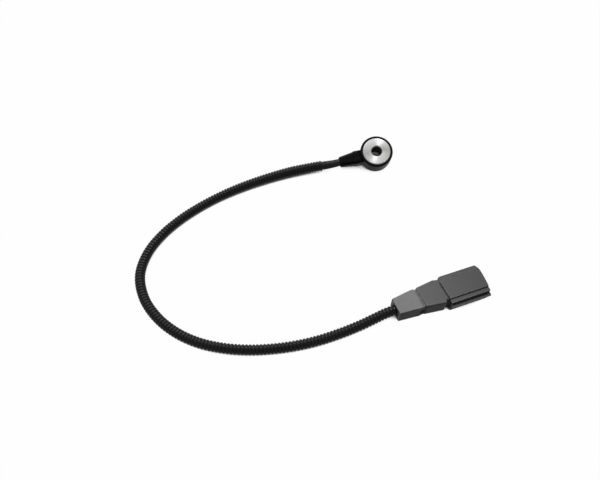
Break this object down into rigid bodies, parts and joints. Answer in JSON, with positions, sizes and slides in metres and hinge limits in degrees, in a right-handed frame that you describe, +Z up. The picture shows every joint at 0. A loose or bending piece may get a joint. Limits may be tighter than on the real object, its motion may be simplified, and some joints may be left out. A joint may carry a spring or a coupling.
{
  "type": "engine knock sensor",
  "caption": "Round piezo knock sensor for one mounting bolt, with a moulded tail, a lead in corrugated conduit and a plug-in connector.",
  "frame": {"origin": "bottom centre of the sensor head's bounding box, on the surface that the part lies on", "axes": "+Z up; +X along the head's tail, from the cable end to the ring; the head leans 25.6 degrees, as it lies"},
  "size_m": [0.2319, 0.168, 0.0211],
  "materials": {
    "turned_steel": "fine turned face",
    "dark_steel": "machined, oiled",
    "spring_steel": "tempered",
    "contact_brass": "rolled sheet",
    "tinned_brass": "tin plated",
    "insulating_film": "smooth film",
    "piezo_ceramic": "fired, unglazed",
    "black_moulding": "fine moulded grain",
    "jacket_black": "extruded, satin",
    "conduit_black": "corrugated, satin",
    "cover_grey": "fine moulded grain",
    "housing_grey": "fine moulded grain",
    "lock_grey": "moulded",
    "seal_rubber": "moulded silicone",
    "core_brown": "extruded",
    "core_white": "extruded",
    "core_black": "extruded"
  },
  "bodies": {
    "root": {"mounting_sleeve": "turned_steel", "sensor_housing": "black_moulding", "cable_jacket": "jacket_black", "conduit": "conduit_black", "rear_cover": "cover_grey", "connector_housing": "housing_grey", "front_insulator": "insulating_film", "rear_insulator": "insulating_film", "insulating_tube": "insulating_film", "front_contact": "contact_brass", "rear_contact": "contact_brass", "piezo_ring": "piezo_ceramic", "seismic_mass": "dark_steel", "retaining_nut": "dark_steel", "disc_spring": "spring_steel", "signal_wire_head": "core_brown", "ground_wire_head": "core_white", "signal_wire_plug": "core_brown", "ground_wire_plug": "core_white", "shield_wire_plug": "core_black", "signal_seal": "seal_rubber", "ground_seal": "seal_rubber", "shield_seal": "seal_rubber", "signal_terminal": "tinned_brass", "ground_terminal": "tinned_brass", "shield_terminal": "tinned_brass", "terminal_lock": "lock_grey"}
  },
  "joints": []
}
